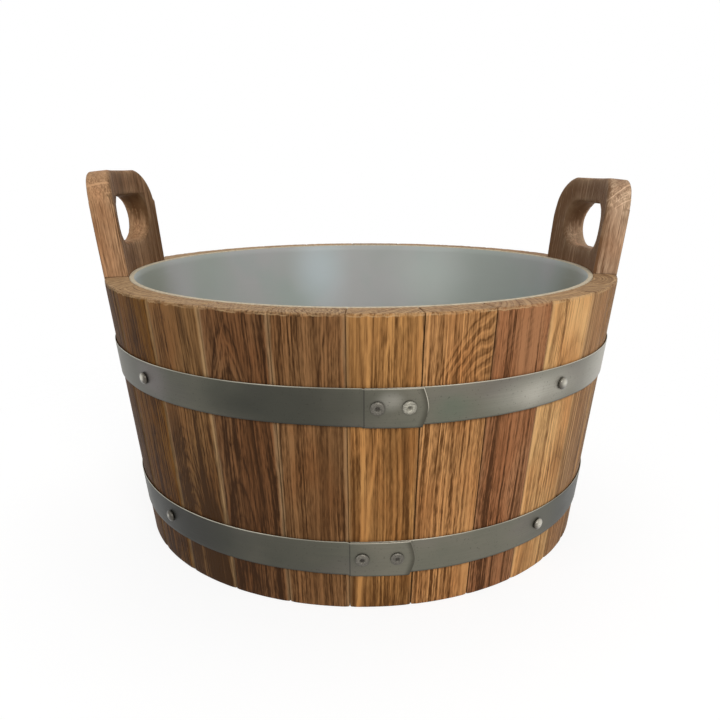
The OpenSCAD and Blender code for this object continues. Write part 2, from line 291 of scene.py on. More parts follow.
def hoop_tree():
    """One hoop: a flat strip laid round the cone that steps up and laps over its own hidden end."""
    group, t, given, out = new_group("Lapped hoop", "GeometryNodeTree", {
        "Height": ("Float", 0.147), "Hidden end": ("Float", 0.0), "Outer end": ("Float", 371.0),
        "Foot radius": ("Float", FOOT_R), "Slope": ("Float", SLOPE), "Width": ("Float", HOOP_WIDTH),
        "Thickness": ("Float", HOOP_THICKNESS), "Lap gap": ("Float", LAP_GAP), "End point": ("Float", END_POINT),
        "Edge radius": ("Float", 0.00022), "Waviness": ("Float", 0.0010), "Splay": ("Float", 0.0013),
        "Seed": ("Float", 0.0), "Material": ("Material", None)},
        {"Geometry": ("Geometry", None)})
    box, (x, y, w) = eased_box(t, (1100, 5, 15), (1.0, given["Thickness"], given["Width"]), given["Edge radius"])
    along = t.plus(x, 0.5)
    r0 = t.plus(given["Foot radius"], t.times(given["Height"], given["Slope"]))
    start, end = t.math("RADIANS", given["Hidden end"]), t.math("RADIANS", given["Outer end"])
    share_across = t.over(w, t.over(given["Width"], 2.0))
    # The outer end is cut to a blunt, rounded point
    clip = t.over(t.times(given["End point"], t.math("POWER", t.math("ABSOLUTE", share_across), 1.5)), r0)
    angle = t.plus(start, t.times(along, t.minus(t.minus(end, start), clip)))
    # The step up to the second layer
    step_end = t.plus(start, 2 * math.pi)
    step_start = t.minus(step_end, t.over(t.times(given["Thickness"], 1.4), r0))
    lift = t.times(t.ramp_to(angle, step_start, step_end, smooth=True), t.plus(given["Thickness"], given["Lap gap"]))
    # A strip bent by hand is never quite true
    ring = t.vector(t.times(t.math("SINE", angle), 3.2), t.times(t.math("COSINE", angle), 3.2), given["Seed"])
    sway = t.times(t.minus(t.noise(ring, 2.0), 0.5), given["Waviness"])
    to_end = t.times(t.minus(end, angle), r0)
    marked = box
    for label, value in (("across", share_across), ("to_end", to_end)):
        mark = t.add("GeometryNodeStoreNamedAttribute", {"Geometry": marked, "Name": label}, data_type="FLOAT")
        t.give(next(s for s in mark.inputs if s.name == "Value" and s.enabled), value)
        marked = mark.outputs[0]
    # The lower edge of the outer end is splayed out a little by the hammer
    splay = t.times(t.ramp_to(to_end, 0.0, 0.075, 1.0, 0.0), t.ramp_to(share_across, -1.0, 1.0, 1.0, 0.0))
    out_by = t.plus(y, t.over(given["Thickness"], 2.0), lift)
    w = t.minus(t.plus(w, sway), t.times(splay, given["Splay"]))
    lean_cos, lean_sin = math.cos(LEAN), math.sin(LEAN)
    r = t.plus(r0, t.times(w, lean_sin), t.times(out_by, lean_cos))
    z = t.plus(given["Height"], t.minus(t.times(w, lean_cos), t.times(out_by, lean_sin)))
    placed = t.add("GeometryNodeSetPosition", {"Geometry": marked, "Position": round_the_axis(t, r, angle, z)})
    finish_tree(t, placed.outputs[0], out, given["Material"])
    return group


def turned_tree():
    """A section of points, radius along X and height along Y, turned round the Z axis."""
    group, t, given, out = new_group("Turned piece", "GeometryNodeTree", {
        "Section": ("Geometry", None), "Steps": ("Int", 48), "Places": ("Object", None),
        "Repeat": ("Bool", False), "Material": ("Material", None)},
        {"Geometry": ("Geometry", None)})
    line = t.add("GeometryNodeMeshToCurve", {0: given["Section"]})
    across, high, _ = t.parts(t.add("GeometryNodeInputPosition").outputs[0])
    flipped = t.vector(t.minus(across, 1.0), t.times(high, -1.0), 0.0)
    shifted = t.add("GeometryNodeSetPosition", {"Geometry": line.outputs[0], "Position": flipped})
    circle = t.add("GeometryNodeCurvePrimitiveCircle", {"Resolution": given["Steps"], "Radius": 1.0}, mode="RADIUS")
    turned = t.add("GeometryNodeCurveToMesh", {"Curve": circle.outputs[0], "Profile Curve": shifted.outputs[0]})
    closed = t.add("GeometryNodeMergeByDistance", {"Geometry": turned.outputs[0], "Distance": 1e-6})
    places = t.add("GeometryNodeObjectInfo", {"Object": given["Places"]}, transform_space="ORIGINAL")
    facing = t.add("GeometryNodeInputNamedAttribute", {"Name": "facing"}, data_type="FLOAT_VECTOR")
    turn = t.add("FunctionNodeAlignRotationToVector", {"Vector": facing.outputs[0]}, axis="Z")
    copies = t.add("GeometryNodeInstanceOnPoints", {
        "Points": places.outputs["Geometry"], "Instance": closed.outputs[0], "Rotation": turn.outputs[0]})
    choice = t.add("GeometryNodeSwitch", {"Switch": given["Repeat"]}, input_type="GEOMETRY")
    t.give(choice.inputs["False"], closed.outputs[0])
    t.give(choice.inputs["True"], copies.outputs[0])
    finish_tree(t, choice.outputs[0], out, given["Material"])
    return group


# Materials


def streak_group():
    """One streak along a board, darker than the wood or, with a strength below 0, lighter."""
    group, t, given, out = new_group("Streak", "ShaderNodeTree", {
        "X": ("Float", 0.0), "Z": ("Float", 0.0), "Place": ("Float", 0.0), "Slant": ("Float", 0.0),
        "Width": ("Float", 0.002), "Strength": ("Float", 0.3), "Low": ("Float", -0.02), "High": ("Float", 0.3)},
        {"Depth": ("Float", None)})
    middle = t.plus(given["Place"], t.times(given["Slant"], t.minus(given["Z"], 0.18)))
    away = t.over(t.math("ABSOLUTE", t.minus(given["X"], middle)), given["Width"])
    shape = t.ramp_to(away, 0.0, 1.0, 1.0, 0.0, smooth=True)
    above = t.ramp_to(given["Z"], t.minus(given["Low"], 0.008), given["Low"])
    below = t.ramp_to(given["Z"], given["High"], t.plus(given["High"], 0.008), 1.0, 0.0)
    t.give(out.inputs["Depth"], t.times(shape, above, below, given["Strength"]))
    return group


def arch_group():
    """Nested arches of growth rings, as where a board is sawn through them aslant. Upside-down for a direction of -1."""
    group, t, given, out = new_group("Arches", "ShaderNodeTree", {
        "X": ("Float", 0.0), "Z": ("Float", 0.0), "Sway": ("Float", 0.0), "Place": ("Float", 0.0), "Apex": ("Float", 0.19),
        "Spread": ("Float", 0.004), "Pitch": ("Float", 0.006), "Reach": ("Float", 0.05), "Direction": ("Float", 1.0),
        "Strength": ("Float", 0.3)},
        {"Depth": ("Float", None)})
    x = t.minus(given["X"], given["Place"])
    below = t.times(t.minus(given["Apex"], given["Z"]), given["Direction"])
    under = t.minus(below, t.over(t.times(x, x), given["Spread"]))
    turns = t.plus(t.over(under, given["Pitch"]), t.times(given["Sway"], 1.3))
    bands = t.times(t.math("COSINE", t.times(turns, 2 * math.pi)), 0.5)
    bands = t.plus(bands, t.times(t.math("COSINE", t.times(turns, 5.1 * math.pi)), 0.2))
    begin = t.ramp_to(under, -0.008, 0.0, smooth=True)
    end = t.ramp_to(below, t.times(given["Reach"], 0.7), given["Reach"], 1.0, 0.0, smooth=True)
    t.give(out.inputs["Depth"], t.times(bands, begin, end, given["Strength"]))
    return group


def oak_group():
    """Oiled oak in a board's own coordinates: X across, Y through and Z along the board, in metres."""
    group, t, given, out = new_group("Oiled oak", "ShaderNodeTree", {
        "Board": ("Vector", None), "To seam": ("Float", 1.0), "To rim": ("Float", 1.0), "Worn": ("Float", 0.0),
        "Gap": ("Float", 0.8), "Seam wear": ("Float", 0.3), "Hoop shadow": ("Float", 0.0), "Foot shade": ("Float", 0.0), "Rim shade": ("Float", 0.0),
        "Streaks": ("Float", 0.0), "Seed": ("Float", 0.0),
        "Pith": ("Vector", (0.0, 0.08, 0.0)), "Run": ("Vector", (0.0, 0.0, 0.0)), "Ring": ("Float", 0.0025),
        "Light": ("Color", colour(190, 140, 85)), "Dark": ("Color", colour(70, 45, 26)),
        "Warm": ("Color", colour(140, 88, 48)), "Tone": ("Float", 0.0), "Figure": ("Float", 0.5),
        "Fibre": ("Float", 1.0)},
        {"Color": ("Color", None), "Roughness": ("Float", None), "Height": ("Float", None)})
    x, y, z = t.parts(given["Board"])
    seed = given["Seed"]
    wander = t.noise(t.vector(t.plus(t.times(x, 18.0), seed), t.times(y, 18.0), t.times(z, 9.0)))
    x_grain = t.plus(x, t.times(t.minus(wander, 0.5), 0.006))

    def grain(fine, long, detail=1.0, rough=0.5):
        """Noise drawn out along the board, around 0: fine and long are its cells to a metre, across and along."""
        place = t.vector(t.plus(t.times(x_grain, fine), seed), t.times(y, fine), t.plus(t.times(z, long), fine))
        return t.minus(t.noise(place, detail, rough), 0.5)

    # The growth rings of the trunk, a little wavy, round a pith that runs askew of the board
    bend = t.add("ShaderNodeTexNoise", {
        "Vector": t.vector(t.plus(t.times(x, 20.0), seed), t.times(y, 20.0), t.times(z, 7.0)),
        "Scale": 1.0, "Detail": 1.0}, noise_dimensions="3D").outputs["Color"]
    bx, by, bz = t.parts(bend)
    px, py, _ = t.parts(given["Pith"])
    rx, ry, _ = t.parts(given["Run"])
    dx = t.plus(t.minus(t.minus(x, px), t.times(z, rx)), t.times(t.minus(bx, 0.5), 0.008))
    dy = t.plus(t.minus(t.minus(y, py), t.times(z, ry)), t.times(t.minus(by, 0.5), 0.008))
    years = t.over(t.math("SQRT", t.plus(t.times(dx, dx), t.times(dy, dy))), given["Ring"])
    years = t.plus(years, t.times(bz, 0.6))
    growth = t.minus(t.wave(t.plus(t.times(years, 0.8), seed), 2.0, 0.6), 0.5)
    share = t.math("FRACT", years)
    early = t.ramp_to(share, 0.0, 0.30, 1.0, 0.0, smooth=True)
    late = t.ramp_to(share, 0.4, 0.95, 0.0, 0.5, smooth=True)
    broken = t.ramp_to(grain(90.0, 14.0), -0.2, 0.2, 0.35, 1.3)
    rings = t.plus(t.times(growth, 1.5), t.times(t.minus(t.math("MAXIMUM", early, late), 0.35), broken, 0.55))
    # Streaks, fibres, pores and pale flecks, all drawn out along the board
    broad, middling = grain(210.0, 3.5, 2.0), grain(520.0, 7.0, 2.0, 0.6)
    fibres, clouds = t.minus(t.ramp_to(grain(900.0, 5.0, 2.0, 0.55), -0.22, 0.22), 0.5), grain(26.0, 9.0)
    crumbs = grain(1150.0, 150.0)
    pores = t.times(t.ramp_to(grain(1150.0, 90.0), 0.08, 0.2), t.plus(t.times(early, 0.5), 0.6))
    flecks = t.ramp_to(grain(800.0, 7.0), 0.1, 0.2)
    lines = t.plus(t.times(broad, 0.75), t.times(middling, 0.28), t.times(fibres, 0.64), t.times(crumbs, 0.9))
    lines = t.plus(lines, t.times(pores, 0.20), t.times(flecks, -0.45))
    # The fibres show more here and less there
    showing = t.ramp_to(grain(46.0, 11.0, 2.0), -0.16, 0.16, 0.45, 1.45)
    depth = t.plus(t.times(rings, given["Figure"]), t.times(lines, given["Fibre"], showing), t.times(clouds, 0.8))
    # Most boards darken towards the foot, a painted shade low down, and a few grow paler
    depth = t.plus(depth, t.times(t.minus(0.12, z), given["Foot shade"]))
    depth = t.plus(depth, given["Tone"], given["Streaks"], 0.52)
    # Few places are as pale or as dark as the wood can be
    depth = t.plus(t.ramp_to(depth, -0.15, 1.15, 0.0, 0.45, smooth=True), t.times(t.math("ADD", depth, 0.0, clamp=True), 0.55))
    base = t.mix(depth, given["Light"], given["Dark"])
    blush = t.noise(t.vector(t.times(x, 34.0), t.plus(t.times(y, 34.0), seed), t.times(z, 15.0)), 3.0)
    base = t.mix(t.times(t.ramp_to(blush, 0.42, 0.66), 0.45), base, t.mix(depth, given["Warm"], given["Dark"]))
    # Worn pale at the eased edges, the seam edges also by a painted highlight where they turn to the light; painted
    # shade down in the seam
    rub = t.noise(t.vector(t.times(x, 90.0), t.plus(t.times(y, 90.0), seed), t.times(z, 45.0)), 3.0)
    seam_wear_and_highlight = t.math("SUBTRACT", 1.0, t.over(given["To seam"], t.plus(t.times(rub, 0.0042), 0.0004)), clamp=True)
    rim_reach = t.plus(t.times(t.math("ABSOLUTE", t.minus(rub, 0.45)), 0.014), 0.0005)
    rim_wear = t.math("SUBTRACT", 1.0, t.over(given["To rim"], rim_reach), clamp=True)
    edge_wear = t.times(given["Worn"], t.ramp_to(rub, 0.3, 0.7))
    wear = t.math("MAXIMUM", t.math("MAXIMUM", t.times(seam_wear_and_highlight, given["Seam wear"]), t.times(rim_wear, 0.5)), t.times(edge_wear, 0.35))
    worn = t.mix(wear, base, t.mix(t.times(depth, 0.4), t.mix(0.38, given["Light"], colour(226, 196, 150)), base))
    # End grain on the rim: the growth rings across a paler, rougher face
    rays = t.minus(t.noise(t.vector(t.plus(t.times(x, 950.0), t.times(y, 300.0)), t.times(y, 240.0), seed), 2.0), 0.5)
    ends = t.math("ADD", t.plus(t.times(rings, 1.1), t.times(rays, 2.2), given["Rim shade"]), 0.42, clamp=True)
    end_face = t.mix(ends, colour(196, 162, 122), colour(104, 74, 50))
    end_face = t.mix(0.08, end_face, base)
    worn = t.mix(t.times(t.ramp_to(given["To rim"], 0.0002, 0.0016, 1.0, 0.0), 0.85), worn, end_face)
    # A thin pale line, here and there, near the outer edge of the rim: partly chips and wear, partly a painted
    # highlight along the rounded edge
    chip = t.noise(t.vector(t.times(x, 190.0), t.plus(seed, 7.0), 0.0), 4.0, 0.65)
    off_line = t.math("ABSOLUTE", t.minus(given["To rim"], t.plus(t.times(chip, 0.0032), 0.0001)))
    here = t.ramp_to(t.noise(t.vector(t.times(x, 75.0), t.plus(seed, 2.0), 0.0)), 0.38, 0.62, 0.0, 0.55)
    chips_and_edge_highlight = t.times(t.ramp_to(off_line, 0.0002, 0.0006, 1.0, 0.0), here)
    worn = t.mix(chips_and_edge_highlight, worn, colour(206, 172, 128))
    # Painted shadow under the hoops, and a little on top of them
    hoop_shadow = 0.0
    for height, _, _ in HOOPS.values():
        reach = t.minus(t.math("ABSOLUTE", t.minus(z, height)), HOOP_WIDTH / 2)
        below = t.math("LESS_THAN", z, height)
        hoop_shadow = t.plus(hoop_shadow, t.times(t.ramp_to(reach, 0.0, 0.0022, 1.0, 0.0), t.plus(t.times(below, 0.45), 0.2)))
    worn = t.mix(t.times(hoop_shadow, given["Hoop shadow"]), worn, colour(36, 23, 13))
    # Painted shade down in the seams, weaker near the rim
    gap = t.times(t.ramp_to(given["To seam"], 0.0001, 0.0007, 1.0, 0.0), given["Gap"],
                  t.ramp_to(given["To rim"], 0.0005, 0.003, 0.4, 1.0))
    t.give(out.inputs["Color"], t.mix(gap, worn, colour(34, 21, 12)))
    t.give(out.inputs["Roughness"], t.plus(t.times(fibres, 0.08), t.times(pores, 0.15), 0.60))
    t.give(out.inputs["Height"], t.minus(t.plus(t.times(fibres, 0.25), t.times(middling, 0.6)), t.plus(pores, t.times(early, 0.3))))
    return group


def new_material(name, viewport):
    material = bpy.data.materials.new(name)
    material.use_nodes = True
    material.diffuse_color = viewport
    material.node_tree.nodes.clear()
    t = Tree(material.node_tree)
    shader = t.add("ShaderNodeBsdfPrincipled")
    t.add("ShaderNodeOutputMaterial", {"Surface": shader.outputs[0]})
    return material, t, shader


def dress_in_oak(t, shader, wood_nodes, values):
    """Puts the oak group on a shader with a piece's own values."""
    wood = t.add("ShaderNodeGroup", values, node_tree=wood_nodes)
    bump = t.add("ShaderNodeBump", {"Strength": 0.6, "Distance": 0.0003, "Height": wood.outputs["Height"]})
    t.give(shader.inputs["Base Color"], wood.outputs["Color"])
    t.give(shader.inputs["Roughness"], wood.outputs["Roughness"])
    t.give(shader.inputs["Normal"], bump.outputs[0])
    shader.inputs["Specular IOR Level"].default_value = 0.07


def stave_oak(name, nodes, azimuth, half_angle, look, streaks=(), arches=None, seam_marks=((0.7, 0.3), (0.7, 0.3)),
              rise=None):
    """Oak for a stave whose middle is at an azimuth. look gives its own tree and colour, streaks and arches its own
    marks, and seam_marks how dark the painted shade in the gap and how pale the edge, by wear and painted highlight, is
    at its left and at its right."""
    material, t, shader = new_material(name, look["Light"])
    place = t.add("ShaderNodeTexCoord").outputs["Object"]
    local = t.add("ShaderNodeMapping", {"Vector": place, "Rotation": (0.0, 0.0, -math.radians(azimuth))}).outputs[0]
    x, y, z = t.parts(local)
    board = t.vector(x, t.plus(y, RIM_R, t.times(t.minus(z, TUB_HEIGHT), SLOPE)), z)
    angle = t.math("ABSOLUTE", t.math("ARCTAN2", x, t.times(y, -1.0)))
    to_seam = t.times(t.minus(math.radians(half_angle), angle), y, -1.0)
    to_seam = t.plus(t.math("MAXIMUM", to_seam, 0.0), t.math("GREATER_THAN", z, TUB_HEIGHT + 0.0001))
    values = {"Board": board, "To seam": to_seam, "Hoop shadow": 0.8, **look}
    rightwards = t.math("GREATER_THAN", x, 0.0)
    for label, left, right in zip(("Gap", "Seam wear"), *seam_marks):
        values[label] = t.plus(t.times(rightwards, right - left), left)
    sway = t.minus(t.wave(t.plus(t.times(z, 26.0), look["Seed"]), 2.0), 0.5)
    depths = [0.0]
    for mark in streaks:
        place, slant, width, strength, low, high = (*mark, *(-20, 300)[len(mark) - 4:])
        depths.append(t.add("ShaderNodeGroup", {
            "X": t.plus(x, t.times(sway, 0.004)), "Z": z, "Place": place * MM, "Slant": slant, "Width": width * MM,
            "Strength": strength, "Low": low * MM, "High": high * MM}, node_tree=nodes["streak"]).outputs[0])
    if arches:
        place, apex, spread, pitch, reach, direction, strength = arches
        across = t.parts(board)[1] if rise else x
        ripple = t.minus(t.noise(t.vector(t.times(x, 70.0), t.times(across, 70.0), t.times(z, 70.0))), 0.5)
        arched = t.add("ShaderNodeGroup", {
            "X": across, "Z": z, "Sway": t.times(ripple, 0.4 if rise else 1.0), "Place": place * MM, "Apex": apex * MM, "Spread": spread * MM,
            "Pitch": pitch * MM, "Reach": reach * MM, "Direction": float(direction), "Strength": 1.0 if rise else strength},
            node_tree=nodes["arch"]).outputs[0]
        if rise:
            # Only thin lines of it, on the sawn side that faces the front
            to_front = t.times(x, -1.0 if azimuth > 0 else 1.0)
            arched = t.times(t.ramp_to(arched, 0.25, 0.6), t.ramp_to(to_front, 0.046, 0.049), strength)
        depths.append(arched)
    if rise:
        # Painted shade on the inner face and under the grip, and worn by hands at the edges
        radius = t.math("SQRT", t.plus(t.times(x, x), t.times(y, y)))
        through = t.minus(t.plus(t.times(t.minus(z, TUB_HEIGHT), SLOPE), RIM_R), radius)
        depths.append(t.ramp_to(through, 0.0145, 0.0172, 0.0, 0.42 if azimuth > 0 else 0.36))
        hole_top = TUB_HEIGHT + rise - GRIP_HEIGHT
        shade_under_grip = t.times(t.ramp_to(z, hole_top - HAND_HOLE_HEIGHT * 0.75, hole_top, smooth=True),
                       t.math("LESS_THAN", z, hole_top + 0.003), t.ramp_to(through, 0.001, 0.004),
                       t.math("LESS_THAN", t.math("ABSOLUTE", x), HAND_HOLE_WIDTH / 2 + 0.002))
        depths.append(t.times(shade_under_grip, 0.9))
        values["Worn"] = t.add("ShaderNodeAttribute", attribute_name="worn").outputs["Fac"]
    else:
        values["To rim"] = t.math("ABSOLUTE", t.minus(z, TUB_HEIGHT))
        # The rim is darker towards the right-hand side
        values["Rim shade"] = 0.16 * math.sin(math.radians(azimuth))
    values["Streaks"] = t.plus(*depths)
    dress_in_oak(t, shader, nodes["oak"], values)
    return material


def patches_over(t, face, round_by, z, stain, patches):
    """Soft-edged patches on a round piece: azimuth and height of the middle, reach along and up, amount and shade.
    Small ones are ragged."""
    for azimuth, height, reach, high, amount, shade in patches:
        middle = math.radians((azimuth + 180.0) % 360.0 - 180.0) * RIM_R
        along = t.over(t.minus(round_by, middle), reach * MM)
        up = t.over(t.minus(z, height * MM), high * MM)
        away = t.math("SQRT", t.plus(t.times(along, along), t.times(up, up)))
        ragged = t.times(t.minus(stain, 0.5), min(1.4, 20.0 / reach))
        cover = t.ramp_to(t.plus(away, ragged), 0.1, 1.0, 1.0, 0.0, smooth=True)
        face = t.mix(t.times(cover, amount), face, shade)
    return face


def steel(name, base, tint, rough, grain, metallic=1.0, patches=(), speckle=0.0, lap=None):
    """Satin steel with soft stains and fine lines. lap is, for a hoop, how far its hidden end lies from its outer
    end, and how bright the painted highlight at its outer end is."""
    material, t, shader = new_material(name, base)
    place = t.add("ShaderNodeTexCoord").outputs["Object"]
    x, y, z = t.parts(place)
    round_by = t.times(t.math("ARCTAN2", x, t.times(y, -1.0)), RIM_R)
    stain = t.noise(t.vector(t.times(x, 26.0), t.times(y, 26.0), t.times(z, 34.0)), 3.0)
    bloom = t.noise(t.vector(t.times(x, 17.0), t.plus(t.times(y, 17.0), 5.0), t.times(z, 40.0)))
    lines = t.noise(t.vector(t.times(round_by, 18.0), 0.0, t.times(z, 1600.0)))
    specks = t.noise(t.vector(t.times(x, 700.0), t.times(y, 700.0), t.times(z, 700.0)), 1.0)
    face = t.mix(t.ramp_to(stain, 0.35, 0.65), base, tint)
    face = t.mix(t.times(t.ramp_to(bloom, 0.50, 0.68), 0.4), face, colour(116, 108, 104))
    face = patches_over(t, face, round_by, z, stain, patches)
    if speckle:
        crust = t.noise(t.vector(t.times(x, 1300.0), t.times(y, 1300.0), t.times(z, 1300.0)), 2.0)
        face = t.mix(t.times(t.ramp_to(crust, 0.42, 0.60), speckle), face, colour(52, 46, 36))
    face = t.mix(t.times(t.ramp_to(specks, 0.66, 0.74), 0.35), face, colour(52, 48, 42))
    if lap:
        hidden_end, end_highlight = lap
        across = t.add("ShaderNodeAttribute", attribute_name="across").outputs["Fac"]
        to_point = t.add("ShaderNodeAttribute", attribute_name="to_end").outputs["Fac"]
        clip = t.times(t.math("POWER", t.math("ABSOLUTE", across), 1.5), END_POINT)
        to_end = t.minus(to_point, clip)
        # Painted shade towards the outer end, where the strip bends down, and a painted shadow line at the hidden end;
        # painted highlights along the upper edge and at the end
        end_shade = t.times(t.ramp_to(to_end, 0.0004, 0.0050, 1.0, 0.0, smooth=True), 0.7)
        face = t.mix(end_shade, face, colour(58, 55, 44))
        step_shadow = t.ramp_to(t.math("ABSOLUTE", t.minus(to_point, hidden_end)), 0.0002, 0.0005, 0.6, 0.0)
        face = t.mix(step_shadow, face, colour(40, 38, 36))
        rubbed_and_highlit = t.times(t.ramp_to(across, 0.94, 0.985), t.ramp_to(bloom, 0.35, 0.6, 0.35, 0.9))
        tip_highlight = t.times(t.ramp_to(to_end, 0.0003, 0.0007, end_highlight, 0.0), t.ramp_to(across, -0.35, 0.1))
        face = t.mix(t.math("MAXIMUM", rubbed_and_highlit, tip_highlight), face, colour(206, 200, 184))
        # Painted shade along the lower edge
        face = t.mix(t.ramp_to(across, -0.985, -0.90, 0.55, 0.0), face, colour(48, 46, 42))
    face = t.mix(t.ramp_to(lines, 0.3, 0.7, 0.0, 0.12), face, colour(60, 60, 58))
    t.give(shader.inputs["Base Color"], face)
    shader.inputs["Metallic"].default_value = metallic
    t.give(shader.inputs["Roughness"], t.plus(t.times(stain, 0.16), rough - 0.08, t.times(lines, 0.05)))
    height = t.plus(t.times(lines, grain), t.times(bloom, 3.0))
    bump = t.add("ShaderNodeBump", {"Strength": 0.35, "Distance": 0.0003, "Height": height})
    t.give(shader.inputs["Normal"], bump.outputs[0])
    return material


def basin_plastic():
    """Smooth grey plastic with soft pale and darker areas: painted highlights at the back, painted shade at both sides,
    and a cream cut edge at the rim that is partly a painted highlight.
    """
    material, t, shader = new_material("basin_plastic", colour(150, 155, 150))
    place = t.add("ShaderNodeTexCoord").outputs["Object"]
    x, y, z = t.parts(place)
    clouds = t.noise(t.vector(t.times(x, 13.0), t.times(y, 13.0), t.times(z, 11.0)))
    bloom = t.noise(t.vector(t.times(x, 17.0), t.plus(t.times(y, 17.0), 9.0), t.times(z, 15.0)))
    fine = t.noise(t.vector(t.times(x, 420.0), t.times(y, 420.0), t.times(z, 160.0)))
    body = t.mix(t.ramp_to(clouds, 0.38, 0.62), colour(172, 178, 172), colour(182, 182, 181))
    body = t.mix(t.times(t.ramp_to(bloom, 0.52, 0.66), 0.5), body, colour(170, 181, 177))
    # Round by the back, so that the patches there lie in one piece
    round_by = t.times(t.math("ARCTAN2", t.times(x, -1.0), y), RIM_R)
    # Painted highlights, pale and bluish, at the back, and painted shade, darker and olive, at both sides
    body = patches_over(t, body, round_by, z, bloom, [
        (14, 178, 48, 60, 0.6, colour(206, 218, 224)), (-25, 175, 70, 60, 0.45, colour(206, 214, 208)),
        (86, 175, 70, 90, 0.7, colour(142, 143, 128)), (-88, 175, 66, 90, 0.75, colour(144, 142, 126))])
    scuffs = t.noise(t.vector(t.times(x, 30.0), t.times(y, 30.0), t.times(z, 260.0)), 3.0)
    body = t.mix(t.times(t.ramp_to(scuffs, 0.62, 0.72), 0.12), body, colour(186, 190, 190))
    # The cut edge at the rim is painted cream: the plastic's own paler edge with a painted highlight where light falls
    # on it
    edge = t.ramp_to(z, TUB_HEIGHT - 0.0009, TUB_HEIGHT - 0.0004)
    cut_edge_and_highlight = t.mix(t.ramp_to(fine, 0.4, 0.7), colour(206, 194, 168), colour(180, 166, 142))
    t.give(shader.inputs["Base Color"], t.mix(edge, body, cut_edge_and_highlight))
    t.give(shader.inputs["Roughness"], t.plus(t.times(clouds, 0.12), 0.40, t.times(edge, 0.25)))
    shader.inputs["Specular IOR Level"].default_value = 0.35
    height = t.plus(t.times(fine, 0.25), t.times(clouds, 2.0))
    bump = t.add("ShaderNodeBump", {"Strength": 0.25, "Distance": 0.0004, "Height": height})
    t.give(shader.inputs["Normal"], bump.outputs[0])
    return material


# The look of each stave: tones of the oiled wood, and the trees that the boards were sawn from

TONES = {
    "smoked": (90, 61, 34), "umber": (89, 57, 22), "bog": (97, 66, 40), "brown": (105, 74, 43), "nut": (112, 78, 47), "golden": (149, 104, 58),
    "honey": (158, 111, 66), "russet": (132, 89, 57), "straw": (182, 135, 85), "tan": (150, 113, 75),
    "handle_dark": (152, 114, 80), "handle_pale": (188, 148, 116),
}


def look(tone, lighter=0.0, figure=0.5, fibre=1.0, pith=(0, 80), run=(0.0, 0.0), ring=2.5, seed=0.0, foot_shade=0.0,
         spread=0.5):
    """The values of one board. Lengths are in mm. lighter above 0 makes the whole board lighter, and foot_shade above 0
    makes it darker downwards."""
    r, g, b = TONES[tone]
    light = colour(*[min(240, c * (1 + spread * k)) for c, k in ((r, 0.68), (g, 0.80), (b, 1.0))])
    dark = colour(r * (1 - spread * 0.76), g * (1 - spread * 0.86), b * (1 - spread * 1.0))
    warm = colour(min(246, r * 1.22), g * 1.06, b * 0.92)
    return {"Light": light, "Dark": dark, "Warm": warm, "Tone": -lighter, "Figure": figure, "Fibre": fibre,
            "Pith": (pith[0] * MM, pith[1] * MM, 0.0), "Run": (run[0], run[1], 0.0), "Ring": ring * MM, "Seed": seed,
            "Foot shade": foot_shade}


# Front staves from left to right, as the photograph shows their figure
FRONT_LOOKS = [
    look("umber", -0.30, 0.45, 1.2, (50, 60), (0.03, 0.02), 2.6, 3.1, 1.0),
    look("umber", -0.05, 0.45, 1.7, (10, 40), (-0.06, 0.06), 2.6, 11.7, 3.0),
    look("brown", -0.20, 0.45, 1.2, (-10, 50), (0.02, 0.08), 3.0, 23.9, 5.0),
    look("bog", -0.04, 0.60, 1.5, (-6.4, 15.5), (0.0, 0.06), 1.9, 31.3, 2.0),
    look("nut", -0.04, 0.40, 1.2, (7.5, 13.3), (0.0, -0.02), 2.0, 47.1, -0.4),
    look("golden", -0.03, 0.45, 0.8, (-50, 50), (0.01, 0.02), 2.6, 59.2, 1.6),
    look("honey", 0.02, 0.25, 1.3, (60, 30), (0.01, 0.02), 1.9, 61.8, -1.0),
    look("russet", 0.17, 0.40, 1.5, (-50, 50), (-0.04, 0.01), 3.6, 73.4, 1.2),
    look("straw", 0.12, 0.40, 0.85, (4, 60), (0.02, 0.05), 2.8, 89.9, 0.7),
    look("tan", 0.00, 0.45, 0.8, (40, 40), (0.01, 0.03), 2.6, 97.7, 0.0),
    look("tan", -0.10, 0.45, 0.9, (0, 50), (-0.02, 0.05), 2.6, 103.3, 0.6),
]

# At each front seam from left to right: how dark the painted shade in its gap and how pale its edges, by wear and
# painted highlight
FRONT_SEAM_MARKS = [(0.7, 0.2), (0.3, 0.6), (0.2, 0.85), (0.15, 0.9), (0.3, 0.8), (0.2, 0.6), (0.9, 0.25), (0.9, 0.2),
                    (0.2, 0.6), (0.2, 0.45), (0.3, 0.3), (0.7, 0.2)]

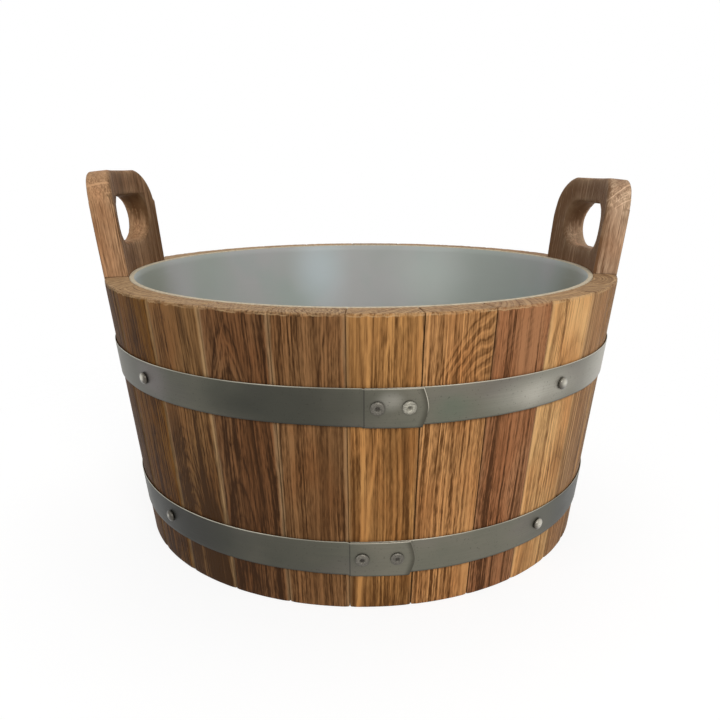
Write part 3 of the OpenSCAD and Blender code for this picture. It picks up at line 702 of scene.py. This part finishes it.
# Streaks that stand out on them: place across and slant, width, strength (below 0 is pale), lowest and highest place
STREAKS = {
    "front_stave_2": [(-16, 0.0, 2.0, -0.4), (8, 0.05, 1.6, -0.4), (20, 0.0, 1.4, -0.4), (0, 0.03, 5.0, 0.3)],
    "front_stave_3": [
        (-20, 0.02, 1.6, -0.45), (-4, 0.0, 5.5, -0.3), (22.5, 0.0, 1.3, -0.8), (-14, -0.1, 1.2, -0.3, 0, 60),
        (9, 0.02, 5.0, 0.3), (15, -0.03, 1.4, -0.5)],
    "front_stave_4": [
        (22.6, 0.02, 1.3, -0.85), (19.5, 0.02, 1.4, 0.35), (11, -0.18, 2.2, -0.45, 60, 230), (-22.5, 0.0, 1.2, -0.7),
        (-10.4, 0.348, 1.2, -0.65, 152, 191), (-2.9, -0.302, 1.2, -0.6, 155, 191), (-7.1, 0.3, 1.0, -0.5, 150, 180),
        (-5.8, -0.26, 1.0, -0.45, 150, 180),
        (-6.4, 0.0, 4.5, 0.35, 100, 172), (-12, 0.02, 4.0, 0.45, 0, 130), (14.4, 0.0, 1.0, 0.8, 99, 101),
        (3, 0.03, 1.0, -0.3, 20, 190)],
    "front_stave_5": [
        (-16.6, 0.05, 1.6, 0.35), (-8, 0.0, 1.5, 0.3), (5.6, -0.056, 1.3, 0.35, 160, 230), (9, 0.141, 1.3, 0.35, 160, 230),
        (21.2, 0.0, 1.6, -0.45), (-12, 0.0, 1.2, -0.3), (-20, 0.02, 1.2, -0.35)],
    "front_stave_6": [
        (-9.8, 0.03, 2.0, -0.5), (1.0, 0.09, 1.8, -0.55), (9, -0.06, 3.0, 0.25), (20, 0.0, 2.0, -0.3),
        (-16, 0.02, 5.0, 0.30, 0, 110), (-3, 0.1, 1.6, 0.25), (22.4, 0.0, 0.8, 0.6)],
    "front_stave_7": [
        (-12, -0.03, 1.6, 0.35), (-3.5, -0.05, 1.8, 0.35), (-17.5, 0.0, 4.0, 0.25, -20, 140), (7, 0.0, 1.0, 0.3, 0, 140),
        (12, 0.02, 1.0, 0.3, 0, 130), (2.2, 0.0, 1.6, 0.7, 20, 23)],
    "front_stave_8": [
        (-10, 0.0, 3.2, 0.45, 135, 230), (-16, -0.02, 6.5, 0.50, -20, 135), (-2, 0.0, 1.2, 0.4, 0, 130),
        (10, 0.05, 6.0, -0.15)],
    "front_stave_9": [(-8, -0.1, 1.3, 0.35), (10, 0.0, 0.9, 0.25), (19, 0.03, 1.6, 0.2), (-20, 0.0, 2.0, -0.25)],
    "front_stave_10": [(-12, 0.0, 1.5, -0.25), (6, 0.0, 1.5, 0.25)],
    "front_stave_11": [(-16, 0.0, 2.5, 0.25), (8, 0.0, 2.0, -0.2)],
}


# Arches on them: place across, height of the apex, spread, pitch, reach and direction (1 points up), and strength
ARCHES = {
    "front_stave_3": (-6, 118, 3.4, 11, 110, 1, 0.32),
    "front_stave_4": (-6.4, 194, 4.4, 14, 60, 1, 0.40),
    "front_stave_7": (27, 206, 36, 8, 50, 1, 0.46),
    "front_stave_8": (24, 204, 60, 5, 36, 1, 0.12),
}


def any_look(chance):
    """A look picked at random for a stave that the photograph doesn't show."""
    tone = chance.choice(("brown", "nut", "golden", "honey", "russet", "tan"))
    return look(tone, chance.uniform(-0.05, 0.05), chance.uniform(0.4, 0.65), chance.uniform(0.9, 1.2),
                (chance.uniform(-50, 50), chance.uniform(30, 80)), (chance.uniform(-0.04, 0.04), chance.uniform(-0.1, 0.1)),
                chance.uniform(2.2, 3.4), chance.uniform(110, 400), chance.uniform(-1.0, 3.0))


# Camera, light and floor


def make_camera():
    """The photograph's camera, found from the rim, the hoops and the foot."""
    azimuth, height, distance, pitch = math.radians(0.68), 0.2835, 0.6052, math.radians(14.79)
    roll = math.radians(-0.17)
    ahead = Vector((math.sin(azimuth) * math.cos(pitch), math.cos(azimuth) * math.cos(pitch), -math.sin(pitch)))
    level = Vector((math.cos(azimuth), -math.sin(azimuth), 0.0))
    up = level.cross(ahead)
    right = math.cos(roll) * level + math.sin(roll) * up
    above = math.cos(roll) * up - math.sin(roll) * level
    data = bpy.data.cameras.new("camera")
    data.sensor_width, data.lens, data.shift_x = 36.0, 718.3 / 720 * 36.0, -1.3 / 720
    data.clip_start, data.clip_end = 0.01, 50.0
    camera = link(bpy.data.objects.new("camera", data))
    camera.matrix_world = Matrix((
        (right.x, above.x, -ahead.x, -distance * math.sin(azimuth)),
        (right.y, above.y, -ahead.y, -distance * math.cos(azimuth)),
        (right.z, above.z, -ahead.z, height),
        (0.0, 0.0, 0.0, 1.0)))
    bpy.context.scene.camera = camera


def area_light(name, place, target, size, power, tint=(1.0, 1.0, 1.0)):
    data = bpy.data.lights.new(name, "AREA")
    data.shape, data.size, data.size_y = "RECTANGLE", size[0], size[1]
    data.energy, data.color = power, tint
    lamp = link(bpy.data.objects.new(name, data))
    lamp.location = place
    lamp.rotation_euler = (Vector(target) - Vector(place)).to_track_quat("-Z", "Y").to_euler()


KEY_POWER, FILL_POWER, TOP_POWER, SKY_LEVEL = 30, 6, 9, 0.34


def make_studio():
    """Pale floor, white surroundings and three soft lamps."""
    area_light("key_lamp", (0.65, -2.25, 1.3), (0, 0, 0.12), (1.2, 1.2), KEY_POWER, (1.0, 0.98, 0.95))
    area_light("fill_lamp", (-1.7, -1.4, 0.9), (0, 0, 0.12), (1.4, 1.0), FILL_POWER, (0.97, 0.99, 1.0))
    area_light("top_lamp", (0.1, 0.5, 1.9), (0, 0, 0.15), (1.4, 1.4), TOP_POWER)
    world = bpy.data.worlds.new("studio")
    bpy.context.scene.world = world
    world.use_nodes = True
    world.node_tree.nodes.clear()
    t = Tree(world.node_tree)

    def shown(path):
        return t.math("MAXIMUM", path["Is Camera Ray"], t.math("MAXIMUM", path["Is Glossy Ray"], path["Is Transmission Ray"]))

    strength = t.plus(SKY_LEVEL, t.times(shown(t.add("ShaderNodeLightPath").outputs), 1.0 - SKY_LEVEL))
    back = t.add("ShaderNodeBackground", {"Color": (1.0, 1.0, 1.0, 1.0), "Strength": strength})
    t.add("ShaderNodeOutputWorld", {"Surface": back.outputs[0]})
    bm = bmesh.new()
    bmesh.ops.create_circle(bm, cap_ends=True, segments=96, radius=4.0)
    mesh = bpy.data.meshes.new("floor")
    bm.to_mesh(mesh)
    bm.free()
    floor = link(bpy.data.objects.new("floor", mesh))
    floor.location.z = -0.0002
    material, t, shader = new_material("pale_floor", (0.9, 0.9, 0.9, 1.0))
    fx, fy, _ = t.parts(t.add("ShaderNodeTexCoord").outputs["Object"])
    path = t.add("ShaderNodeLightPath").outputs
    mottle = t.noise(t.vector(t.times(fx, 30.0), t.times(fy, 30.0), 0.0), 3.0)
    t.give(shader.inputs["Base Color"], t.mix(mottle, (0.64, 0.64, 0.64, 1.0), (0.66, 0.66, 0.66, 1.0)))
    shader.inputs["Roughness"].default_value = 0.9
    glow = t.add("ShaderNodeEmission", {"Color": (1.0, 1.0, 1.0, 1.0), "Strength": 1.25})
    both = t.add("ShaderNodeMixShader", {0: t.times(shown(path), 0.68), 1: shader.outputs[0], 2: glow.outputs[0]})
    far = t.math("SQRT", t.plus(t.times(fx, fx), t.times(fy, fy)))
    fade = t.times(t.ramp_to(far, 0.30, 0.75, smooth=True), path["Is Camera Ray"])
    clear = t.add("ShaderNodeBsdfTransparent")
    whole = t.add("ShaderNodeMixShader", {0: fade, 1: both.outputs[0], 2: clear.outputs[0]})
    end = next(n for n in t.tree.nodes if n.type == "OUTPUT_MATERIAL")
    t.give(end.inputs["Surface"], whole.outputs[0])
    mesh.materials.append(material)


# Pieces


def keep(obj, body, slot, *nodes):
    """Attaches a finished piece to what carries it and hides the nodes that it stands for. slot, its finish, is not
    used.
    """
    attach(obj, body)
    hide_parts(*nodes)
    return obj


def make_staves(nodes):
    """All ordinary staves, front and back."""
    tree = stave_tree()
    chance = random.Random(17)
    runs = (("front", FRONT_SEAMS, FRONT_LOOKS, FRONT_SEAM_MARKS),
            ("back", BACK_SEAMS, [any_look(chance) for _ in BACK_WIDTHS],
             [(chance.uniform(0.1, 0.9), chance.uniform(0.2, 0.8)) for _ in BACK_SEAMS]))
    for side, places, looks, marks in runs:
        for i, wood in enumerate(looks):
            start, end = places[i], places[i + 1]
            name = f"{side}_stave_{i + 1}"
            material = stave_oak(f"oak_{name}", nodes, (start + end) / 2, (end - start) / 2, wood,
                                 STREAKS.get(name, ()), ARCHES.get(name), marks[i:i + 2])
            slack = math.degrees(chance.uniform(0.00003, 0.00014) / RIM_R)
            stave = grow(f"planed_{name}", tree, {
                "Start": start + slack, "End": end - slack, "Seed": float(10 * i + len(side)),
                "Rim radius": RIM_R - chance.uniform(0.0, 0.0003), "Material": material})
            keep(face_outwards(stave), "tub", "stave_oak", name)


def on_wall(azimuth, z):
    """A point on the outer face of the wall."""
    a = math.radians(azimuth)
    return Vector((outer_r(z) * math.sin(a), -outer_r(z) * math.cos(a), z))


def sand_handle(name, source):
    """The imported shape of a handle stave, its edges above the rim sanded round and its faces a little uneven."""
    mesh = source.data.copy()
    mesh.name = name
    mesh.materials.clear()
    bm = bmesh.new()
    bm.from_mesh(mesh)
    worn = bm.verts.layers.float.new("worn")
    bmesh.ops.remove_doubles(bm, verts=bm.verts, dist=1e-6)
    bmesh.ops.dissolve_limit(bm, angle_limit=math.radians(0.4), verts=bm.verts, edges=bm.edges)
    sharp = [e for e in bm.edges if e.calc_face_angle(0.0) > math.radians(50)
             and min(v.co.z for v in e.verts) > TUB_HEIGHT - 0.001]
    eased = bmesh.ops.bevel(
        bm, geom=sharp, offset=HANDLE_EASE, offset_type="OFFSET", segments=5, profile=0.5, affect="EDGES",
        clamp_overlap=False, loop_slide=True, harden_normals=False)
    edges = kdtree.KDTree(len(eased["verts"]))
    for i, vert in enumerate(eased["verts"]):
        edges.insert(vert.co, i)
    edges.balance()
    for _ in range(6):
        bmesh.ops.triangulate(bm, faces=[f for f in bm.faces if len(f.verts) > 3])
        long_edges = [e for e in bm.edges if e.calc_length() > 0.005]
        if long_edges:
            bmesh.ops.subdivide_edges(bm, edges=long_edges, cuts=1)
    bmesh.ops.triangulate(bm, faces=[f for f in bm.faces if len(f.verts) > 3])
    bm.normal_update()
    for vert in bm.verts:
        vert[worn] = max(0.0, 1.0 - edges.find(vert.co)[2] / 0.006)
    for vert in bm.verts:
        vert.co -= vert.normal * 0.00022 * (0.5 + 0.5 * noise.noise(vert.co * 48.0))
    for face in bm.faces:
        face.smooth = True
    for edge in bm.edges:
        edge.smooth = edge.calc_face_angle(0.0) < math.radians(30)
    bm.to_mesh(mesh)
    bm.free()
    return mesh


def make_handles(nodes):
    """The two handle staves, their edges sanded round."""
    # The wood of each, and the arches that its sawn sides cut
    looks = {
        "right": (look("handle_pale", -0.13, 0.15, 0.60, (30, 60), (0.01, 0.03), 3.0, 211.0), (0, 273, 50, 5, 22, 1, -0.35)),
        "left": (look("handle_dark", 0.00, 0.15, 0.65, (-20, 60), (0.02, 0.04), 3.0, 223.0), (30, 289, 222, 7, 26, 1, -0.6)),
    }
    for side, (wood, arches) in looks.items():
        node = f"{side}_handle_stave"
        azimuth, half_angle, rise = HANDLES[side]
        mesh = sand_handle(f"sanded_{node}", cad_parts[node])
        handle = link(bpy.data.objects.new(f"sanded_{node}", mesh))
        mesh.materials.append(stave_oak(f"oak_{node}", nodes, azimuth, half_angle, wood, (), arches, rise=rise))
        keep(face_outwards(handle), "tub", "handle_oak", node)


# How bright the painted highlight at the outer end of each hoop is
END_HIGHLIGHTS = {"upper_hoop": 0.9, "lower_hoop": 0.2}


def make_hoops():
    tree = hoop_tree()
    pale, green, dark, ring = colour(184, 180, 168), colour(92, 106, 90), colour(46, 47, 41), colour(40, 38, 34)
    soft_highlight = colour(116, 108, 108)
    # Patches on the hoops: the pale ones are painted highlights and the dark ones painted shade, both standing for
    # reflections of the surroundings; the green one is a tint of the steel
    patches = {
        "upper_hoop": [(36, 146, 62, 20, 0.65, pale), (33, 144, 18, 12, 0.8, pale), (16, 146, 20, 14, 0.45, green),
                       (4.3, 151, 13, 9, 0.6, pale), (-50, 147, 130, 90, 0.55, dark), (-14, 147, 105, 70, 0.8, dark),
                       (64, 147, 80, 60, 0.8, pale), (-46, 150, 26, 20, 0.5, soft_highlight), (-24, 143, 30, 16, 0.35, dark)],
        "lower_hoop": [(-50, 40, 170, 120, 1.0, dark), (-46, 40, 90, 60, 0.6, ring), (-14, 40, 80, 60, 0.5, dark), (58, 40, 90, 80, 0.85, dark)],
    }
    for i, (name, (z, end, pitch)) in enumerate(HOOPS.items()):
        # Painted shade round the heads of the rivets and the pins
        shade_round_heads = [(azimuth, z / MM, 6.3, 6.3, 0.75, ring) for azimuth in rivet_azimuths(z, end, pitch)]
        shade_round_heads += [(azimuth, z / MM, 5.6, 5.6, 0.7, ring) for azimuth in PIN_AZIMUTHS]
        to_hidden_end = RIVET_TO_END + pitch + RIVET_TO_HIDDEN_END
        material = steel(f"{name}_steel", colour(110, 109, 96), colour(120, 116, 103), 0.44, 0.6, 0.8,
                         patches[name] + shade_round_heads, 0.0, (to_hidden_end, END_HIGHLIGHTS[name]))
        hidden = end - math.degrees(to_hidden_end / outer_r(z))
        hoop = grow(f"bent_{name}", tree, {
            "Height": z, "Hidden end": hidden, "Outer end": end + 360.0, "Seed": 3.0 + 7 * i, "Material": material})
        keep(face_outwards(hoop), "tub", "hoop_steel", name)


def section_mesh(name, points):
    """A closed or open line of points, radius and height, for turning."""
    mesh = bpy.data.meshes.new(name)
    mesh.from_pydata([(r, h, 0.0) for r, h in points], [(i, i + 1) for i in range(len(points) - 1)], [])
    return mesh


def places_on_wall(name, spots, lift):
    """Points on the outer face at azimuths and heights, each with the way that it faces."""
    points, facings = [], []
    for azimuth, z in spots:
        a = math.radians(azimuth)
        facing = Vector((math.sin(a) * math.cos(LEAN), -math.cos(a) * math.cos(LEAN), -math.sin(LEAN)))
        points.append(on_wall(azimuth, z) + facing * lift)
        facings.append(facing)
    mesh = bpy.data.meshes.new(name)
    mesh.from_pydata(points, [], [])
    attribute = mesh.attributes.new("facing", "FLOAT_VECTOR", "POINT")
    attribute.data.foreach_set("vector", [c for f in facings for c in f])
    return link(bpy.data.objects.new(name, mesh))


def make_fasteners(turned):
    z, end, pitch = HOOPS["upper_hoop"]
    marks = [(rivet_azimuths(z, end, pitch)[0], z / MM, 8, 8, 0.75, colour(214, 210, 192))]
    # Painted shade in the pit of each rivet head
    marks += [(azimuth, z / MM, 2.0, 2.0, 0.9, colour(34, 28, 22))
              for z, end, pitch in HOOPS.values() for azimuth in rivet_azimuths(z, end, pitch)]
    rivet_finish = steel("rivet_steel", colour(120, 116, 106), colour(106, 102, 94), 0.40, 1.2, 0.6, marks, 0.45)
    # Painted highlights on top of the pins, wider on the right-hand ones; the darker grey round the edge is painted
    # shade
    pin_highlights = [(azimuth, z / MM + 0.6, *((4.8, 4.8) if azimuth > 0 else (3.0, 3.0)), 0.9, colour(216, 211, 196))
            for z, _, _ in HOOPS.values() for azimuth in PIN_AZIMUTHS]
    pin_finish = steel("pin_steel", colour(86, 80, 70), colour(78, 74, 66), 0.26, 0.2, 0.5, pin_highlights)
    lap = 2 * HOOP_THICKNESS + LAP_GAP
    head = RIVET_HEAD_H
    rivet_section = [(0.0, -0.004), (RIVET_SHANK_R, -0.0038), (RIVET_SHANK_R, 0.0), (RIVET_HEAD_R * 0.985, 0.0)]
    rivet_section += [(RIVET_HEAD_R, head * 0.12), (RIVET_HEAD_R, head * 0.28), (RIVET_HEAD_R * 0.975, head * 0.42)]
    rivet_section += [(RIVET_HEAD_R * k, head * h) for k, h in (
        (0.90, 0.66), (0.80, 0.84), (0.66, 0.96), (0.52, 1.0), (0.42, 0.98), (0.36, 0.90), (0.33, 0.70), (0.32, 0.42),
        (0.22, 0.38), (0.21, 0.60), (0.16, 0.66), (0.0, 0.64))]
    pin_section = [(0.0, -0.011), (PIN_SHANK_R, -0.008), (PIN_SHANK_R, 0.0), (PIN_HEAD_R * 0.93, 0.0)]
    pin_section += [(PIN_HEAD_R * 0.97, PIN_HEAD_H * 0.06), (PIN_HEAD_R * 0.995, PIN_HEAD_H * 0.16)]
    pin_section += [(PIN_HEAD_R * math.cos(math.radians(a)), PIN_HEAD_H * (0.3 + 0.7 * math.sin(math.radians(a))))
                    for a in range(0, 91, 9)]
    pin_section[-1] = (0.0, PIN_HEAD_H)
    for name, (z, end, pitch) in HOOPS.items():
        for kind, section, spots, lift, finish in (
                ("rivets", rivet_section, rivet_azimuths(z, end, pitch), lap, rivet_finish),
                ("pins", pin_section, PIN_AZIMUTHS, HOOP_THICKNESS, pin_finish)):
            places = places_on_wall(f"{name}_{kind}_places", [(a, z) for a in spots], lift)
            piece = grow(f"turned_{name}_{kind}", turned, {
                "Steps": 48, "Places": places, "Repeat": True, "Material": finish},
                section_mesh(f"{name}_{kind}_section", section))
            bpy.data.objects.remove(places)
            keep(face_outwards(piece), "tub", kind[:-1] + "_steel", f"{name}_{kind}")


def make_insert(turned):
    """The lift-out basin, of even wall, flush with the rim."""
    inset_by = INSERT_WALL / math.cos(LEAN)
    back = STAVE_THICKNESS / math.cos(LEAN) + INSERT_CLEARANCE
    turn_z = INSERT_FLOOR + INSERT_CORNER
    turn_r = outer_r(turn_z) - back - INSERT_CORNER / math.cos(LEAN)
    lean = math.degrees(LEAN)

    def bend(r, angles):
        return [(turn_r + r * math.cos(math.radians(a)), turn_z + r * math.sin(math.radians(a))) for a in angles]

    steps = [-90 + (90 - lean) * i / 12 for i in range(13)]
    top = outer_r(TUB_HEIGHT) - back
    ease = 0.0004
    wall = [TUB_HEIGHT - 0.15 * (1 - i / 24) for i in range(1, 24)]
    section = [(0.0, INSERT_FLOOR), (turn_r / 2, INSERT_FLOOR)] + bend(INSERT_CORNER, steps)
    section += [(outer_r(z) - back, z) for z in wall]
    section += [(top - ease * SLOPE, TUB_HEIGHT - ease), (top - ease, TUB_HEIGHT)]
    section += [(top - inset_by + ease, TUB_HEIGHT), (top - inset_by - ease * SLOPE, TUB_HEIGHT - ease)]
    section += [(outer_r(z) - back - inset_by, z) for z in reversed(wall)]
    section += bend(INSERT_CORNER - INSERT_WALL, reversed(steps))
    section += [(turn_r / 2, INSERT_FLOOR + INSERT_WALL), (0.0, INSERT_FLOOR + INSERT_WALL)]
    basin = grow("turned_insert", turned, {"Steps": 240, "Repeat": False, "Material": basin_plastic()},
                 section_mesh("insert_section", section))
    keep(face_outwards(basin), "basin", "insert_plastic", "insert")


def dress_boards(oak_nodes):
    """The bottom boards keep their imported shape. Their grain runs along X."""
    chance = random.Random(5)
    for i in range(5):
        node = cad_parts[f"bottom_board_{i + 1}"]
        material, t, shader = new_material(f"oak_bottom_board_{i + 1}", colour(*TONES["golden"]))
        x, y, z = t.parts(t.add("ShaderNodeTexCoord").outputs["Object"])
        dress_in_oak(t, shader, oak_nodes, {**any_look(chance), "Board": t.vector(y, z, x), "Foot shade": 0.0})
        node.data.materials.clear()
        node.data.materials.append(material)


make_camera()
make_studio()
nodes = {"oak": oak_group(), "streak": streak_group(), "arch": arch_group()}
make_staves(nodes)
make_handles(nodes)
make_hoops()
turned = turned_tree()
make_fasteners(turned)
make_insert(turned)
dress_boards(nodes["oak"])

bpy.context.scene.view_settings.view_transform = "Standard"
